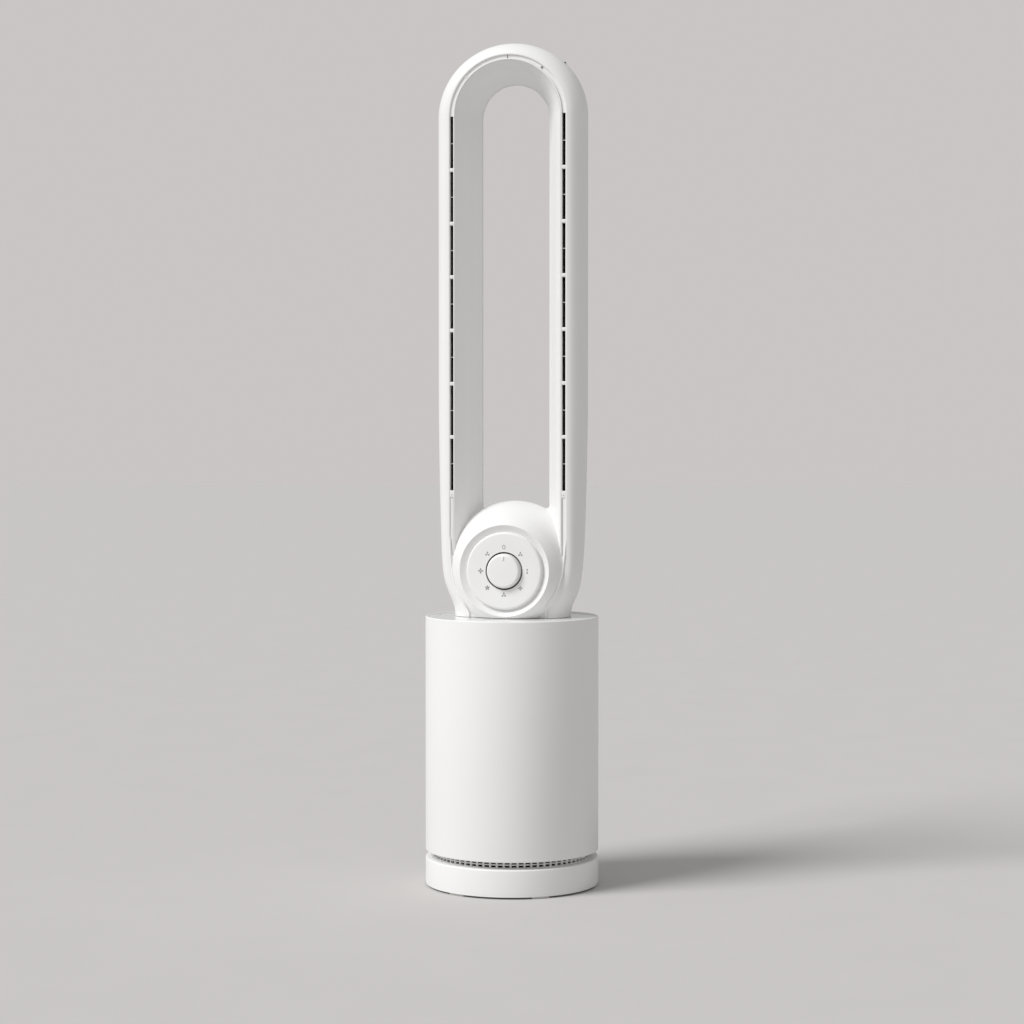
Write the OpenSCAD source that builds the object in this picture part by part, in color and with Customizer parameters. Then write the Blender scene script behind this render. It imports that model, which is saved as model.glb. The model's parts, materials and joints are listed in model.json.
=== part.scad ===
// Bladeless tower fan: a weighted intake base, a round casing with a motor and impeller, and a tall
// racetrack air loop that swivels on the casing. +Z is up, the front faces -Y, the floor is z = 0.

/* [Casing and base] */
// Radius of the casing and of the base tray
casing_r = 100; // [90:1:115]
// Height of the casing's rim above the floor
casing_top = 311; // [305:1:360]
// Height of the base tray's top
tray_top = 33; // [30:1:40]
// Height of the rubber feet
foot_h = 2; // [1:0.5:5]
// Wall of the casing and the tray
casing_wall = 2.6; // [2:0.1:4]
// Height of the intake band between tray and casing
intake_h = 8; // [6:0.5:14]
// How far the intake band lies inside the casing
intake_inset = 10; // [6:1:12]
// Intake holes in each of the two rows
intake_count = 72; // [48:6:72]
// Width of one intake hole
intake_hole_w = 5.6; // [3:0.2:6]

/* [Loop] */
// Height of the centre of the loop's top arc above the top plate
loop_rise = 575; // [470:1:640]
// Half width of the loop at its widest
loop_half_w = 87.7; // [84:0.1:95]
// Half width of the window at its rear throat
throat_u = 39.9; // [36:0.1:42]
// Inner edge of the air slot
slot_in = 63.8; // [62:0.1:64]
// Outer edge of the air slot
slot_out = 68; // [66:0.1:69]
// Width of the lip on the inside of the slot
lip_in = 1.3; // [1:0.1:2]
// Width of the lip on the outside of the slot
lip_out = 1.6; // [1:0.1:2.5]
// Depth of the loop in front of the casing axis
loop_front = 23.6; // [20:0.1:30]
// Depth of the loop behind the casing axis
loop_back = 38; // [34:0.5:46]
// Wall of the loop's shells
loop_wall = 2.2; // [1.6:0.1:3]
// Height of the air slots' lower end above the top plate
slot_rise = 146; // [138:1:160]
// Air slot segments in each arm
slot_segments = 7; // [4:1:10]
// Height of the bridges between slot segments
bridge_h = 4.3; // [3:0.1:6]

/* [Hub and dial] */
// Height of the dial's axis above the top plate
hub_rise = 54.5; // [52:0.5:80]
// Largest radius of the hub's saddle
saddle_r = 79.2; // [76:0.1:82]
// Radius of the hub's drum at its front
drum_r = 61.7; // [58:0.1:64]
// Depth of the drum's front face
drum_front = 28; // [26:0.5:30]
// Radius of the bezel's rim
bezel_rim_r = 52.4; // [50:0.1:54]
// Depth of the bezel's rim
rim_front = 39; // [36:0.5:42]
// Radius of the dial face
face_r = 44.4; // [40:0.1:44.6]
// Depth of the dial face
face_front = 40; // [37:0.5:42]
// Radius of the knob
knob_r = 20; // [16:0.5:21]
// How far the knob stands out of the dial face
knob_proud = 6; // [4:0.5:8]
// Radius of the circle of dial marks
mark_r = 27.3; // [25:0.1:32]
// Positions marked on the dial
mark_count = 8; // [4:1:8]

/* [Swivel] */
// Half width of the neck at the top plate
neck_half_w = 68.3; // [64:0.1:72]
// Outer radius of the swivel spigot
spigot_r = 27.4; // [24:0.2:27.4]
// Radial running clearance of shafts and of the spigot
run_clear = 0.06; // [0.02:0.01:0.1]
// Gear module of the swivel drive
gear_m = 1.25; // [1:0.05:1.4]
// Teeth of the full circle of the swivel gear
ring_teeth = 90; // [80:2:94]
// Teeth of the drive pinion
pinion_teeth = 18; // [17:1:20]
// Backlash of the swivel gears along the pitch circle
backlash = 0.25; // [0.1:0.05:0.4]

/* [Motor and impeller] */
// Radius of the impeller
impeller_r = 60; // [50:1:62]
// Height of the impeller's lower edge
impeller_z = 140; // [138:1:144]
// Height of the impeller
impeller_h = 46; // [36:1:48]
// Blades on the impeller
blade_count = 9; // [5:1:11]
// Radius of the motor shaft
shaft_r = 4; // [3:0.5:5]
// Outer radius of the motor can
can_r = 27; // [25:1:30]
// Guide vanes in the diffuser
vane_count = 11; // [7:1:13]

/* [Fasteners] */
// Radius of the small screws' shanks
screw_r = 1.6; // [1.2:0.1:2]
// Radius of the small screws' heads
head_r = 3; // [2.6:0.1:3.4]
// Gap between pieces of different bodies
gap = 0.4; // [0.3:0.1:0.8]

/* [Hidden] */
$fn = 96;
eps = 0.01;
floor_t = 3;
tray_z0 = foot_h;
flange_t = 3;
flange_in = casing_r - 24;
casing_z0 = tray_top + intake_h;
grille_r = casing_r - intake_inset;
grille_t = 2.8;
grille_hole_h = 2.4;
grille_row_pitch = 3.6;
screw_circle = casing_r - 18;
boss_r = 4.6;
boss_h = 12;
foot_count = 6;
foot_arc = 12;
foot_turn = 3;
foot_in = casing_r - 16;
foot_out = casing_r - 3;
ballast_r = casing_r - 20;
ballast_in = 18;
ballast_h = 12;
ballast_top = tray_z0 + floor_t + ballast_h;
bolt_r = 2.5;
board_z = ballast_top + 7;
loom_x = screw_circle - 2;
loom_r = 2.2;
bolt_circle = 60;
gland_z = 17;
gland_r = 6;
cord_r = 3.6;
gland_len = 13;
plate_t = 3;
plate_top = casing_top - 1;
plate_z0 = plate_top - plate_t;
hub_z = plate_top + hub_rise;
slot_z0 = plate_top + slot_rise;
arc_z = plate_top + loop_rise;
plate_r = casing_r - casing_wall - 0.2;
ledge_t = 3;
ledge_in = plate_r - 4;
bell_z = 116;
bell_t = 3;
duct_r = impeller_r + 2;
duct_t = 2.4;
duct_z0 = bell_z + bell_t + 9;
duct_z1 = 240;
spigot_z0 = plate_z0 - 27;
cone_top = spigot_z0 - 3;
cone_neck_r = spigot_r - 3;
mount_circle = duct_r + 13;
control_u = duct_r + duct_t + 13.6;
motor_z0 = 193;
motor_z1 = 240;
bearing_r = 11;
bearing_w = 7;
magnet_r = 14;
magnet_z0 = 205;
magnet_h = 25;
stator_gap = 0.8;
tooth_count = 9;
neck_z0 = plate_top + 2 * gap;
collar_z0 = plate_z0 - 12;
collar_r = spigot_r + 6;
ring_z0 = spigot_z0 + 3;
ring_h = 8;
centre_gap = gear_m * (ring_teeth + pinion_teeth) / 2;
osc_r = 21;
osc_h = 14;
osc_z1 = ring_z0 - 4;
pin_r = 2.5;
loop_mid_v = 5.7;
seam_v = 18;
slot_pitch = (arc_z - slot_z0) / slot_segments;
groove_depth = 2;
groove_floor_t = 1.4;
strip_in = 1.2;
groove_z0 = hub_z + 16.5;
neck_flat = 48;
bez_n = 7;
rear_cover_r = 54;
rear_cover_t = 2.4;
bezel_in = 44.8;
groove_r = 45.4;
bezel_groove_v = 35.7;
well_r = knob_r + 3.5;
well_v = 33;
stem_r = 3;
switch_back = 4;
bush_r = 4.6;
bracket_t = 2;
bracket_v = 26.4;
nut_t = 2.5;

// ---- curves and helpers ----

function bez(a, b, c, d, n = bez_n) = [for (i = [0 : n - 1]) let (t = i / n, s = 1 - t)
    s * s * s * a + 3 * s * s * t * b + 3 * s * t * t * c + t * t * t * d];

// Outline of one arm of the loop, seen from above: [distance from the middle, depth]
function arm_points(shift = 0) = let (
        w = loop_half_w - shift, f = -loop_front, m = loop_mid_v, r = loop_back,
        front_out = slot_out + lip_out, front_in = slot_in - lip_in, top_u = (throat_u + w) / 2)
    concat(
        bez([front_out, f], [front_out + 9, f + 3], [w, m - 16], [w, m]),
        bez([w, m], [w, m + 18], [top_u + 14, r], [top_u, r]),
        bez([top_u, r], [top_u - 11, r], [throat_u + 3, r - 6], [throat_u, r - 15]),
        [[throat_u, r - 15], [front_in, f]]);

// Outline of the neck and of the lower housing, seen from above
function half_neck(w, flat) = concat(
    bez([flat, -loop_front], [flat + 0.6 * (w - flat), -loop_front], [w, loop_mid_v - 16], [w, loop_mid_v]),
    bez([w, loop_mid_v], [w, loop_mid_v + 18], [0.72 * w, loop_back], [0.45 * w, loop_back]),
    [[0.45 * w, loop_back]]);
function neck_points(w, flat) = let (h = half_neck(w, flat))
    concat(h, [for (i = [len(h) - 1 : -1 : 0]) [-h[i][0], h[i][1]]]);

// Half section of the hub about its front-to-back axis: [radius, depth]
function hub_points(wall) = let (r = saddle_r - wall, d = drum_r - wall)
    concat([[0, -drum_front + wall * 0]],
        bez([d, -drum_front], [d + 1, -drum_front + 12], [r, -8], [r, 14]),
        bez([r, 14], [r, 27], [r - 6, loop_back - wall], [r - 18, loop_back - wall]),
        [[r - 18, loop_back - wall], [0, loop_back - wall]]);

module both_sides() {
    children();
    mirror([1, 0, 0]) children();
}

// Turns a section drawn as [radius, depth] about the dial's axis
module about_dial() {
    translate([0, 0, hub_z]) rotate([-90, 0, 0]) rotate_extrude() children();
}

// A cylinder on the dial's axis between two depths
module dial_cylinder(r, v0, v1, facets = $fn) {
    translate([0, v0, hub_z]) rotate([-90, 0, 0]) cylinder(r = r, h = v1 - v0, $fn = facets);
}

// Places children around the casing's axis
module around(count, radius, turn = 0) {
    for (i = [0 : count - 1]) rotate([0, 0, turn + i * 360 / count]) translate([radius, 0, 0]) children();
}

module ring(r_out, r_in, h) {
    difference() {
        cylinder(r = r_out, h = h);
        translate([0, 0, -1]) cylinder(r = r_in, h = h + 2);
    }
}

module screw(length, r = screw_r, head = head_r, head_h = 2) {
    translate([0, 0, -head_h]) cylinder(r = head, h = head_h, $fn = 32);
    cylinder(r = r, h = length, $fn = 32);
}

// ---- base ----

module foot_pads() {
    color([0.8, 0.8, 0.78]) for (i = [0 : foot_count - 1])
        rotate([0, 0, foot_turn - 60 + i * 360 / foot_count - foot_arc / 2])
            rotate_extrude(angle = foot_arc)
                translate([foot_in, 0]) square([foot_out - foot_in, foot_h]);
}

module base_tray() {
    round_r = 3;
    color("white") difference() {
        rotate_extrude() difference() {
            union() {
                translate([0, tray_z0]) square([casing_r - round_r, tray_top - tray_z0]);
                translate([0, tray_z0 + 1]) square([casing_r, tray_top - tray_z0 - 1 - round_r]);
                translate([casing_r - round_r, tray_top - round_r]) circle(r = round_r);
                polygon([[casing_r - round_r, tray_z0], [casing_r - 1, tray_z0], [casing_r, tray_z0 + 1],
                    [casing_r - round_r, tray_z0 + 1]]);
            }
            translate([-1, tray_z0 + floor_t])
                square([casing_r - casing_wall + 1, tray_top - flange_t - tray_z0 - floor_t]);
            translate([-1, tray_top - flange_t - 1]) square([flange_in + 1, flange_t + 2]);
        }
        around(foot_count, screw_circle, 30)
            translate([0, 0, tray_top - flange_t - 1]) cylinder(r = screw_r + 0.1, h = flange_t + 2, $fn
                = 32);
        around(4, bolt_circle, 45)
            translate([0, 0, tray_z0 - 1]) cylinder(r = bolt_r, h = floor_t + 2, $fn = 32);
        translate([0, casing_r + 1, gland_z]) rotate([90, 0, 0]) cylinder(r = gland_r, h = 10, $fn = 48);
        translate([-loom_x, 0, tray_top - flange_t - 1]) cylinder(r = loom_r + 0.8, h = flange_t + 2, $fn
            = 32);
    }
}

module ballast_plate() {
    color([0.3, 0.3, 0.32]) difference() {
        translate([0, 0, tray_z0 + floor_t]) ring(ballast_r, ballast_in, ballast_h);
        around(4, bolt_circle, 45) cylinder(r = bolt_r + 0.2, h = ballast_top + 1, $fn = 32);
    }
}

module ballast_bolts() {
    color([0.7, 0.7, 0.72]) around(4, bolt_circle, 45) {
        translate([0, 0, ballast_top]) cylinder(r = 4.5, h = 3, $fn = 6);
        translate([0, 0, tray_z0 + 0.4]) cylinder(r = bolt_r, h = ballast_top - tray_z0 - 0.4, $fn = 32);
    }
}

module intake_grille() {
    row_z = tray_top + intake_h / 2;
    color("white") difference() {
        union() {
            translate([0, 0, tray_top]) ring(grille_r, grille_r - grille_t, intake_h);
            around(foot_count, screw_circle, 30) translate([0, 0, tray_top]) cylinder(r = boss_r, h =
                intake_h);
            around(foot_count, screw_circle + 4.2, 30)
                translate([-1, -1.2, tray_top]) cube([2.6, 2.4, intake_h]);
        }
        around(foot_count, screw_circle, 30)
            translate([0, 0, tray_top - 1]) cylinder(r = screw_r + 0.1, h = intake_h + 2, $fn = 32);
        for (row = [-0.5, 0.5]) around(intake_count, grille_r - grille_t / 2)
            translate([-grille_t, -intake_hole_w / 2, row_z + row * grille_row_pitch - grille_hole_h / 2])
                cube([2 * grille_t, intake_hole_w, grille_hole_h]);
    }
}

module base_screws() {
    color([0.7, 0.7, 0.72]) around(foot_count, screw_circle, 30)
        translate([0, 0, tray_top - flange_t]) screw(flange_t + intake_h + flange_t + 8);
}

module casing() {
    chamfer = 1.5;
    inner_r = casing_r - casing_wall;
    rim_r = casing_wall / 2;
    color("white") difference() {
        union() {
            rotate_extrude() polygon(concat(
                [[flange_in, casing_z0], [casing_r - chamfer, casing_z0], [casing_r, casing_z0 + chamfer]],
                [for (a = [0 : 22.5 : 180]) [inner_r + rim_r + rim_r * cos(a), casing_top - rim_r + rim_r
                    * sin(a)]],
                [[inner_r, plate_z0], [ledge_in, plate_z0], [ledge_in, plate_z0 - ledge_t],
                    [inner_r, plate_z0 - ledge_t], [inner_r, casing_z0 + flange_t], [flange_in, casing_z0
                        + flange_t]]));
            around(foot_count, screw_circle, 30) translate([0, 0, casing_z0]) cylinder(r = boss_r, h =
                boss_h);
        }
        around(foot_count, screw_circle, 30)
            translate([0, 0, casing_z0 - 1]) cylinder(r = screw_r, h = boss_h, $fn = 32);
        translate([-loom_x, 0, casing_z0 - 1]) cylinder(r = loom_r + 0.8, h = flange_t + 2, $fn = 32);
    }
}

module casing_foam() {
    foam_t = 10;
    color([0.25, 0.25, 0.27]) difference() {
        translate([0, 0, casing_z0 + boss_h + 2])
            ring(casing_r - casing_wall, casing_r - casing_wall - foam_t, bell_z - casing_z0 - boss_h - 6);
        around(foot_count, screw_circle, 30) translate([0, 0, casing_z0]) cylinder(r = boss_r + 0.5, h =
            boss_h);
    }
}

module cord_gland() {
    color([0.15, 0.15, 0.16]) difference() {
        union() {
            translate([0, casing_r - 1, gland_z]) rotate([90, 0, 0]) cylinder(r = gland_r, h = gland_len,
                $fn = 48);
            translate([0, casing_r - casing_wall - 1, gland_z]) rotate([90, 0, 0])
                cylinder(r = gland_r + 2, h = 2, $fn = 48);
        }
        translate([0, casing_r + 1, gland_z]) rotate([90, 0, 0])
            cylinder(r = cord_r, h = gland_len + 4, $fn = 48);
    }
}

module power_board() {
    board = [84, 56, 1.6];
    color([0.1, 0.4, 0.2]) union() {
        translate([-board[0] / 2, -board[1] / 2, board_z]) cube(board);
        translate([-34, -20, board_z + board[2]]) cube([26, 22, 14]);
        for (x = [4, 18]) translate([x, -12, board_z + board[2]]) cylinder(r = 5, h = 12);
        translate([-30, 8, board_z + board[2]]) cube([18, 10, 9]);
        translate([10, 8, board_z + board[2]]) cube([22, 12, 8]);
    }
}

module board_standoffs() {
    color([0.8, 0.65, 0.3]) for (x = [-38, 38], y = [-24, 24])
        translate([x, y, ballast_top]) cylinder(r = 2.5, h = board_z - ballast_top, $fn = 32);
}

// One loom runs up inside the casing from the power board to the control board
module wiring_loom() {
    color([0.2, 0.2, 0.22]) union() {
        translate([-loom_x, 0, board_z + 1.8]) cylinder(r = loom_r, h = 174 - board_z, $fn = 24);
        translate([-loom_x, 0, board_z + 3.8]) rotate([0, 90, 0]) cylinder(r = loom_r - 0.3, h = loom_x -
            38, $fn = 24);
        translate([-38, 0, board_z + 1.6]) cylinder(r = loom_r, h = 5, $fn = 24);
        translate([-loom_x, 0, 174]) rotate([0, 90, 0]) cylinder(r = loom_r - 0.3, h = loom_x - control_u, $fn = 24);
    }
}

// ---- duct, motor and impeller ----

module inlet_bellmouth() {
    lip_r = 7;
    color([0.85, 0.85, 0.85]) difference() {
        rotate_extrude() {
            translate([duct_r + lip_r, bell_z]) square([casing_r - casing_wall - duct_r - lip_r, bell_t]);
            intersection() {
                translate([duct_r + lip_r, bell_z + lip_r]) difference() {
                    circle(r = lip_r);
                    circle(r = lip_r - bell_t);
                }
                translate([duct_r, bell_z]) square([lip_r, lip_r]);
            }
            translate([duct_r, bell_z + lip_r]) square([bell_t, duct_z0 - bell_z - lip_r - 1]);
        }
        translate([-loom_x, 0, bell_z - 1]) cylinder(r = loom_r + 0.8, h = bell_t + 2, $fn = 32);
    }
}

module vibration_mounts() {
    color([0.2, 0.2, 0.2]) around(3, mount_circle, 30)
        translate([0, 0, bell_z + bell_t]) cylinder(r = 4.5, h = duct_z0 - bell_z - bell_t);
}

module duct_housing() {
    color([0.85, 0.85, 0.85]) difference() {
        union() {
            translate([0, 0, duct_z0]) ring(duct_r + duct_t, duct_r, duct_z1 - duct_z0);
            translate([0, 0, duct_z0]) ring(mount_circle + 3, duct_r, 3);
            for (z = [178, 222]) translate([-duct_r - duct_t - 12, -6, z]) cube([13, 12, 4]);
        }
        translate([-loom_x, 0, duct_z0 - 1]) cylinder(r = loom_r + 0.8, h = 5, $fn = 32);
    }
}

// Thin curved vanes in plan, as arcs between two radii
module curved_vane(r_in, r_out, bow, thick) {
    intersection() {
        translate([(r_in + r_out) / 2, -bow, 0]) difference() {
            circle(r = bow + thick / 2);
            circle(r = bow - thick / 2);
        }
        translate([r_in, -bow]) square([r_out - r_in, 2 * bow]);
    }
}

module diffuser() {
    hub_t = 2.6;
    color([0.85, 0.85, 0.85]) union() {
        translate([0, 0, motor_z0 + 4]) ring(can_r + hub_t, can_r, motor_z1 - motor_z0 - 8);
        for (i = [0 : vane_count - 1]) rotate([0, 0, i * 360 / vane_count])
            translate([0, 0, motor_z0 + 8]) linear_extrude(height = 30) intersection() {
                curved_vane(can_r + hub_t - 0.5, duct_r, 34, 1.8);
                circle(r = duct_r);
            }
    }
}

module motor_can() {
    color([0.7, 0.7, 0.72]) difference() {
        translate([0, 0, motor_z0]) cylinder(r = can_r, h = motor_z1 - motor_z0);
        translate([0, 0, motor_z0 + bearing_w + 2]) cylinder(r = can_r - 2, h = motor_z1 - motor_z0 - 2 *
            bearing_w - 4);
        translate([0, 0, motor_z0 + 2]) cylinder(r = bearing_r, h = bearing_w + 1);
        translate([0, 0, motor_z1 - bearing_w - 3]) cylinder(r = bearing_r, h = bearing_w + 1);
        translate([0, 0, motor_z0 - 1]) cylinder(r = shaft_r + 2, h = motor_z1 - motor_z0 + 2);
    }
}

module motor_stator() {
    tooth_w = 4;
    color([0.5, 0.5, 0.52]) translate([0, 0, magnet_z0 + 1]) union() {
        ring(can_r - 2, can_r - 6, magnet_h - 2);
        around(tooth_count, magnet_r + stator_gap)
            translate([0, -tooth_w / 2, 0]) cube([can_r - 5 - magnet_r - stator_gap, tooth_w, magnet_h - 2]);
    }
}

module motor_windings() {
    coil_w = 7;
    coil_l = 4.4;
    color([0.72, 0.42, 0.2]) around(tooth_count, magnet_r + stator_gap + 1)
        translate([0, 0, magnet_z0 - 0.5]) difference() {
            translate([0, -coil_w / 2, 0]) cube([coil_l, coil_w, magnet_h + 1]);
            translate([-1, -2, 1.5]) cube([coil_l + 2, 4, magnet_h - 2]);
        }
}

module bearing_at(z) {
    color([0.75, 0.75, 0.78]) translate([0, 0, z]) ring(bearing_r, shaft_r + run_clear, bearing_w);
}
module lower_bearing() { bearing_at(motor_z0 + 2); }
module upper_bearing() { bearing_at(motor_z1 - bearing_w - 2); }

module motor_shaft() {
    color([0.75, 0.75, 0.78]) translate([0, 0, impeller_z - 8])
        cylinder(r = shaft_r, h = motor_z1 - impeller_z + 10);
}

module rotor_magnet() {
    color([0.3, 0.3, 0.33]) translate([0, 0, magnet_z0]) ring(magnet_r, shaft_r, magnet_h);
}

module impeller() {
    hub_top_r = can_r - 1;
    color([0.9, 0.9, 0.9]) union() {
        difference() {
            translate([0, 0, impeller_z]) rotate_extrude() polygon(concat([[0, 0]],
                bez([12, 0], [18, 8], [hub_top_r - 2, impeller_h - 22], [hub_top_r, impeller_h]),
                [[hub_top_r, impeller_h], [0, impeller_h]]));
            translate([0, 0, impeller_z - 1]) cylinder(r = shaft_r, h = impeller_h + 2);
            translate([0, 0, impeller_z + impeller_h - 12]) ring(hub_top_r - 3, 9, 14);
        }
        translate([0, 0, impeller_z]) intersection() {
            rotate_extrude() polygon([[11, 2], [impeller_r, 2], [impeller_r, impeller_h - 2], [hub_top_r
                - 1, impeller_h - 2],
                [21, impeller_h - 24], [12, 3]]);
            for (i = [0 : blade_count - 1]) rotate([0, 0, i * 360 / blade_count])
                linear_extrude(height = impeller_h) curved_vane(10, impeller_r + 2, 46, 1.8);
        }
    }
}

module impeller_nut() {
    color([0.7, 0.7, 0.72]) translate([0, 0, impeller_z - 6]) difference() {
        cylinder(r = 7.5, h = 6, $fn = 6);
        translate([0, 0, -1]) cylinder(r = shaft_r, h = 8);
    }
}

module control_board() {
    color([0.1, 0.4, 0.2]) union() {
        translate([-control_u, -22, 172]) cube([1.6, 44, 62]);
        for (z = [186, 206]) translate([-control_u - 6, -14, z]) cube([6, 12, 12]);
        translate([-control_u - 8, 4, 190]) cube([8, 10, 16]);
    }
}

module outlet_cone() {
    t = duct_t;
    r0 = duct_r + t;
    r1 = cone_neck_r + t;
    z1 = osc_z1 - osc_h - 3;
    color([0.85, 0.85, 0.85]) rotate_extrude() polygon([[duct_r, duct_z1], [r0, duct_z1], [r1, z1], [r1,
        cone_top],
        [cone_neck_r, cone_top], [cone_neck_r, z1]]);
}

module duct_gasket() {
    color([0.2, 0.2, 0.2]) translate([0, 0, cone_top])
        ring(cone_neck_r + duct_t, cone_neck_r, spigot_z0 - gap - cone_top);
}

// ---- swivel ----

module top_plate() {
    color("white") difference() {
        translate([0, 0, plate_z0]) ring(plate_r, spigot_r + 1, plate_t);
        around(6, plate_r - 5) translate([0, 0, plate_z0 - 1]) cylinder(r = screw_r, h = plate_t, $fn = 32);
    }
}

module plate_screws() {
    color([0.7, 0.7, 0.72]) around(4, collar_r + 5, 45)
        translate([0, 0, collar_z0 + 7]) screw(plate_z0 - collar_z0 - 7);
}

module swivel_collar() {
    color([0.9, 0.9, 0.88]) difference() {
        translate([0, 0, collar_z0]) union() {
            ring(collar_r, spigot_r + run_clear, plate_z0 - collar_z0);
            translate([0, 0, 7]) ring(collar_r + 9, spigot_r + run_clear, plate_z0 - collar_z0 - 7);
        }
        around(4, collar_r + 5, 45) translate([0, 0, collar_z0]) cylinder(r = screw_r, h = 40, $fn = 32);
    }
}

module thrust_washer() {
    color([0.93, 0.93, 0.9]) translate([0, 0, plate_top]) ring(spigot_r + 8, spigot_r + 1, neck_z0 -
        plate_top - gap);
}

// Involute teeth: half the angle that a tooth takes at radius r, on a gear with n teeth
function roll(base, r) = let (t = sqrt(max(0, pow(r / base, 2) - 1))) t * 180 / PI - atan(t);
function half_tooth(n, r) = let (pitch = gear_m * n / 2, base = pitch * cos(20))
    90 / n - backlash / 4 / pitch * 180 / PI + roll(base, pitch) - roll(base, max(base, r));

module tooth(n) {
    pitch = gear_m * n / 2;
    r0 = pitch - 1.25 * gear_m - 0.5;
    r1 = pitch + gear_m;
    steps = 6;
    radii = [for (i = [0 : steps]) pitch - 1.2 * gear_m + i * (r1 - pitch + 1.2 * gear_m) / steps];
    polygon(concat([[r0 * cos(half_tooth(n, radii[0])), -r0 * sin(half_tooth(n, radii[0]))]],
        [for (r = radii) [r * cos(half_tooth(n, r)), -r * sin(half_tooth(n, r))]],
        [for (i = [steps : -1 : 0]) let (r = radii[i]) [r * cos(half_tooth(n, r)), r * sin(half_tooth(n,
            r))]],
        [[r0 * cos(half_tooth(n, radii[0])), r0 * sin(half_tooth(n, radii[0]))]]));
}

module swivel_gear() {
    root_r = gear_m * ring_teeth / 2 - 1.25 * gear_m;
    side_teeth = 15;
    color([0.9, 0.9, 0.88]) translate([0, 0, ring_z0]) linear_extrude(height = ring_h) union() {
        difference() {
            circle(r = root_r, $fn = 180);
            circle(r = spigot_r);
        }
        for (i = [-side_teeth : side_teeth - 1]) rotate(90 + (i + 0.5) * 360 / ring_teeth) tooth(ring_teeth);
    }
}

module osc_pinion() {
    root_r = gear_m * pinion_teeth / 2 - 1.25 * gear_m;
    color([0.95, 0.95, 0.9]) translate([0, centre_gap, ring_z0 - 1]) linear_extrude(height = ring_h + 2)
        difference() {
        union() {
            circle(r = root_r);
            for (i = [0 : pinion_teeth - 1]) rotate(-90 + i * 360 / pinion_teeth) tooth(pinion_teeth);
        }
        circle(r = pin_r + run_clear);
    }
}

module osc_motor() {
    color([0.7, 0.7, 0.72]) translate([0, centre_gap, 0]) union() {
        translate([0, 0, osc_z1 - osc_h]) cylinder(r = osc_r, h = osc_h);
        translate([0, 0, osc_z1]) cylinder(r = pin_r, h = ring_h + 5);
        translate([0, 0, osc_z1]) cylinder(r = 5, h = 2);
    }
}

module osc_bracket() {
    plate_z = osc_z1;
    color([0.6, 0.6, 0.62]) difference() {
        union() {
            translate([-osc_r - 12, centre_gap - 9, plate_z]) cube([2 * osc_r + 24, 18, 1.6]);
            both_sides() translate([osc_r + 8, centre_gap, plate_z]) cylinder(r = 4, h = plate_z0 -
                plate_z, $fn = 48);
        }
        translate([0, centre_gap, plate_z - 1]) cylinder(r = 8, h = 4);
    }
}

module retaining_ring() {
    z0 = ring_z0 + ring_h + 0.6;
    color([0.7, 0.7, 0.72]) translate([0, 0, z0]) ring(spigot_r + 4, spigot_r, collar_z0 - gap - z0);
}

// ---- head: neck, loop and hub ----

module hub_solid(wall) {
    intersection() {
        about_dial() polygon(hub_points(wall));
        translate([-150, -150, neck_z0 + (wall > 0 ? flange_t : 0)]) cube(300);
    }
}

// Below the slots each arm leans in and closes round the hub: [height, shift inwards, narrowing]
lower_steps = [[slot_z0 - eps, 0, 0], [hub_z + 7.5, 1, 5], [hub_z - 24, 14, 2]];
module lower_arm(inset) {
    hull() for (s = lower_steps)
        translate([-s[1], 0, s[0]]) linear_extrude(height = eps) offset(delta = -inset)
            polygon(arm_points(s[2]));
}

module neck_prism(inset, z0) {
    translate([0, 0, z0]) linear_extrude(height = hub_z - 34 - z0)
        offset(delta = -inset) polygon(neck_points(neck_half_w, neck_flat));
}

module neck_yoke() {
    color("white") difference() {
        union() {
            hub_solid(0);
            both_sides() lower_arm(0);
            neck_prism(0, neck_z0);
            translate([0, 0, spigot_z0]) cylinder(r = spigot_r, h = neck_z0 - spigot_z0 + 1);
        }
        hub_solid(loop_wall);
        both_sides() translate([0, 0, -eps]) lower_arm(loop_wall);
        both_sides() translate([0, 0, slot_z0 - 8]) linear_extrude(height = 20)
            offset(delta = -loop_wall) polygon(arm_points(0));
        neck_prism(loop_wall, neck_z0 + flange_t);
        translate([0, 0, spigot_z0 - 1]) cylinder(r = spigot_r - 3, h = 40);
        dial_cylinder(drum_r - 4, -drum_front - 1, 0);
        dial_cylinder(rear_cover_r - 4, 10, loop_back + 1);
        both_sides() translate([slot_in, -loop_front - 1, groove_z0])
            cube([slot_out - slot_in, groove_depth + 1, slot_z0 - groove_z0 + 1]);
    }
}

module arm_shell() {
    difference() {
        polygon(arm_points());
        offset(delta = -loop_wall) polygon(arm_points());
        translate([slot_in, -loop_front - 1]) square([slot_out - slot_in, 11]);
    }
}

// The part of the arm's shell inside a box in plan, run up both arms and over the top
module along_loop(z0 = slot_z0) {
    both_sides() translate([0, 0, z0]) linear_extrude(height = arc_z - z0) children();
    over_top() children();
}
module over_top() {
    translate([0, 0, arc_z]) rotate([-90, 0, 0]) rotate([0, 0, 180]) rotate_extrude(angle = 180, $fn =
        180) children();
}

module loop_outer_shell() {
    color("white") along_loop() intersection() {
        arm_shell();
        translate([slot_out - 1, -60]) square([60, 60 + seam_v]);
    }
}

module loop_inner_shell() {
    color("white") along_loop() intersection() {
        arm_shell();
        translate([0, -60]) square([slot_in + 1, 60 + seam_v]);
    }
}

module loop_rear_shell() {
    color("white") along_loop() intersection() {
        arm_shell();
        translate([0, seam_v]) square([120, 60]);
    }
}

module slot_bridges() {
    color("white") both_sides() for (i = [1 : slot_segments - 1])
        translate([slot_in, -loop_front, slot_z0 + i * slot_pitch - bridge_h / 2])
            cube([slot_out - slot_in, 6, bridge_h]);
}

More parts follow.
